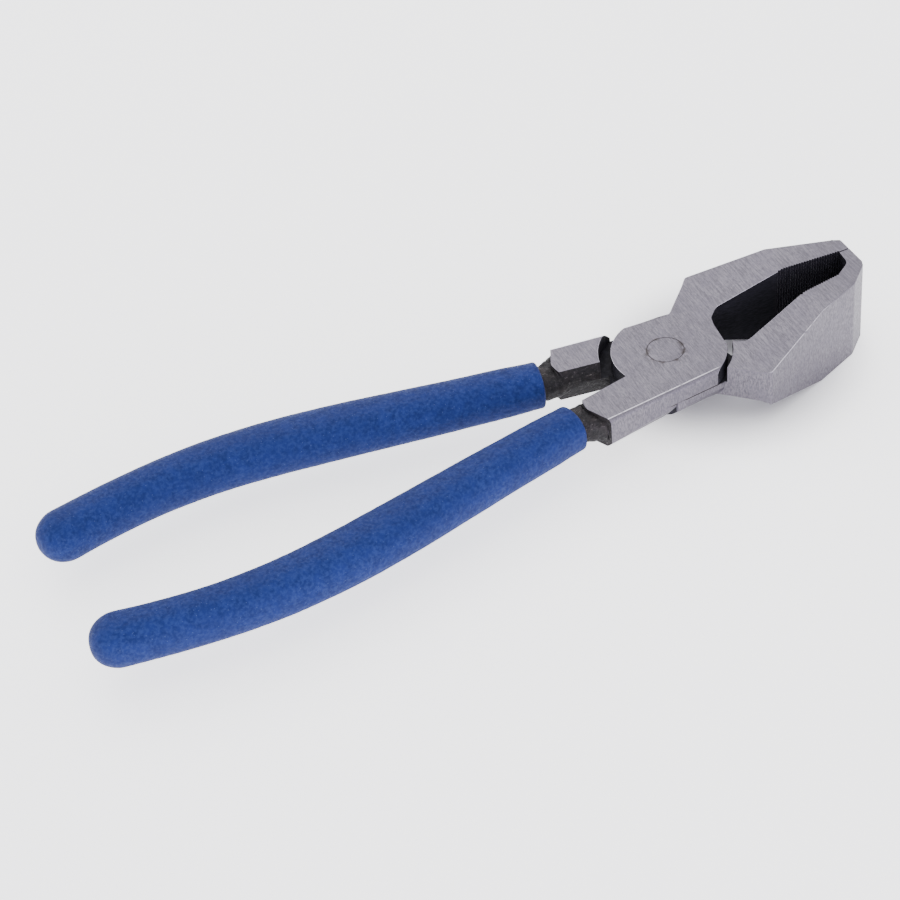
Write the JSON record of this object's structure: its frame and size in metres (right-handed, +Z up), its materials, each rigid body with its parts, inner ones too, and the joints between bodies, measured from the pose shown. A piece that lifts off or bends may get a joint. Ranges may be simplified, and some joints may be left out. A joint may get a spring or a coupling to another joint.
{
  "type": "glass running pliers",
  "caption": "Wide-nosed pliers for running and breaking scored glass: flat toothed jaw, hooked lip jaw, lap joint and dipped handle grips.",
  "frame": {"origin": "centre of the bounding box in plan, on the surface that the jaws' flat side rests on", "axes": "+X along the pliers towards the jaw tips, +Z up along the rivet, +Y towards the flat jaw"},
  "size_m": [0.205, 0.0572, 0.022],
  "materials": {
    "lever_steel": "ground faces, black forged flanks",
    "rivet_steel": "ground flush",
    "dipped_grip": "matte, finely grained"
  },
  "bodies": {
    "flat_jaw_half": {"flat_jaw_lever": "lever_steel", "pivot_rivet": "rivet_steel", "flat_jaw_lever_grip": "dipped_grip"},
    "lipped_jaw_half": {"lipped_jaw_lever": "lever_steel", "lipped_jaw_lever_grip": "dipped_grip"}
  },
  "joints": [
    {"name": "jaw_pivot", "type": "hinge", "parent": "flat_jaw_half", "child": "lipped_jaw_half", "pos_m": [0.0499, 0, 0.011], "axis": [0, 0, -1], "range_deg": [0, 46]}
  ]
}
